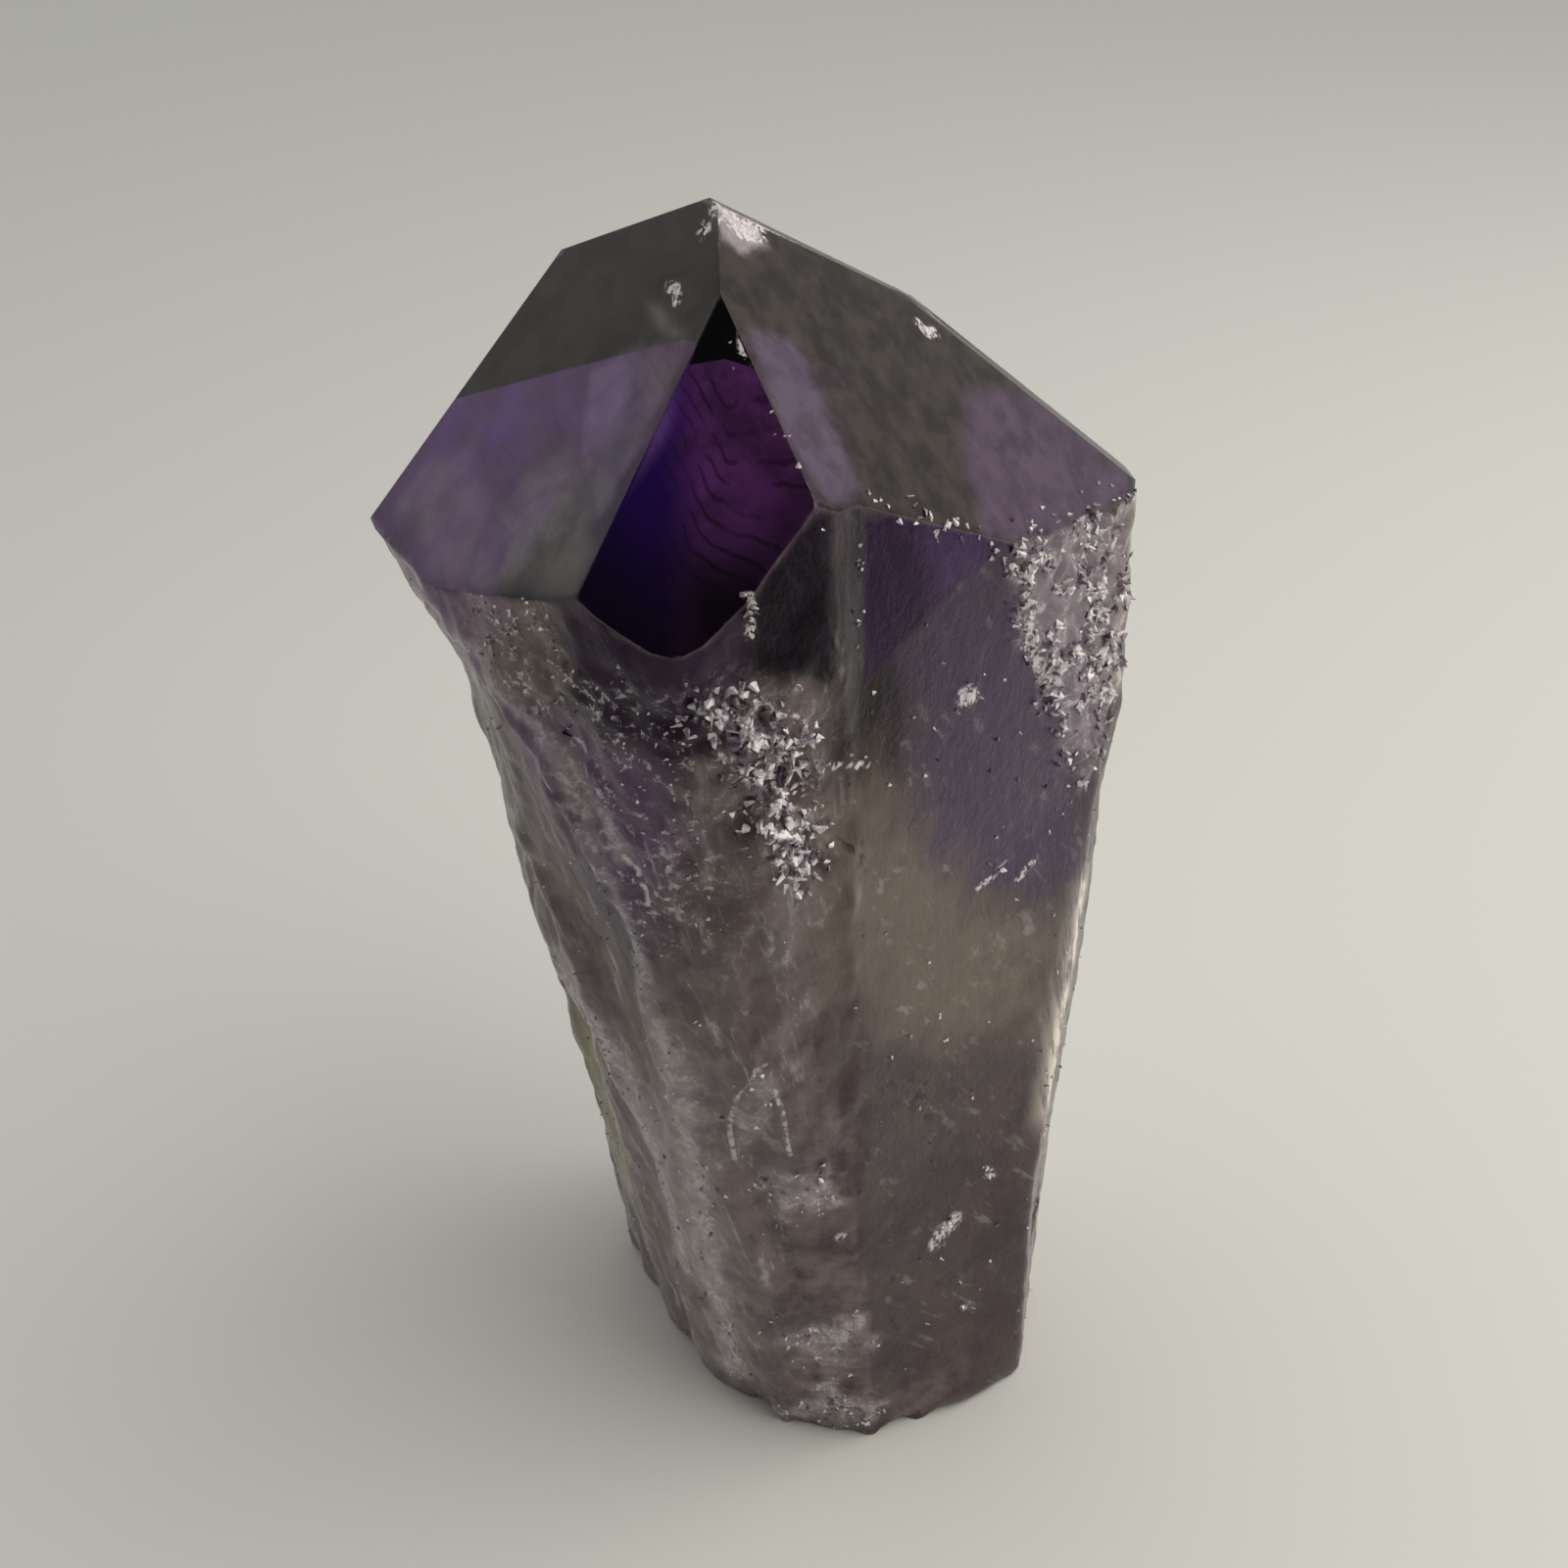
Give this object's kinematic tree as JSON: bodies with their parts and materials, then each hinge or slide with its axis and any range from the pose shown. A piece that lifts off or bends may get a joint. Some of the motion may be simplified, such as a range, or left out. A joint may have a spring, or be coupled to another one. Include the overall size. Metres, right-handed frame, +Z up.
{
  "type": "phantom amethyst point",
  "caption": "Standing amethyst crystal point: a tapering rough quartz column with a sharp glossy faceted tip and a violet phantom inside.",
  "frame": {"origin": "middle of the crystal's bounding box, at the level of its flat broken base", "axes": "+Z up along the crystal's long axis to its tip, -Y towards the side with the dark triangular face, +X to the right of it"},
  "size_m": [0.0676, 0.0558, 0.1308],
  "materials": {
    "amethyst": "clear to smoky violet quartz, glossy on the faces of the tip, frosted and furrowed on the left, right and back sides"
  },
  "bodies": {
    "root": {"crystal_point": "amethyst"}
  },
  "joints": []
}
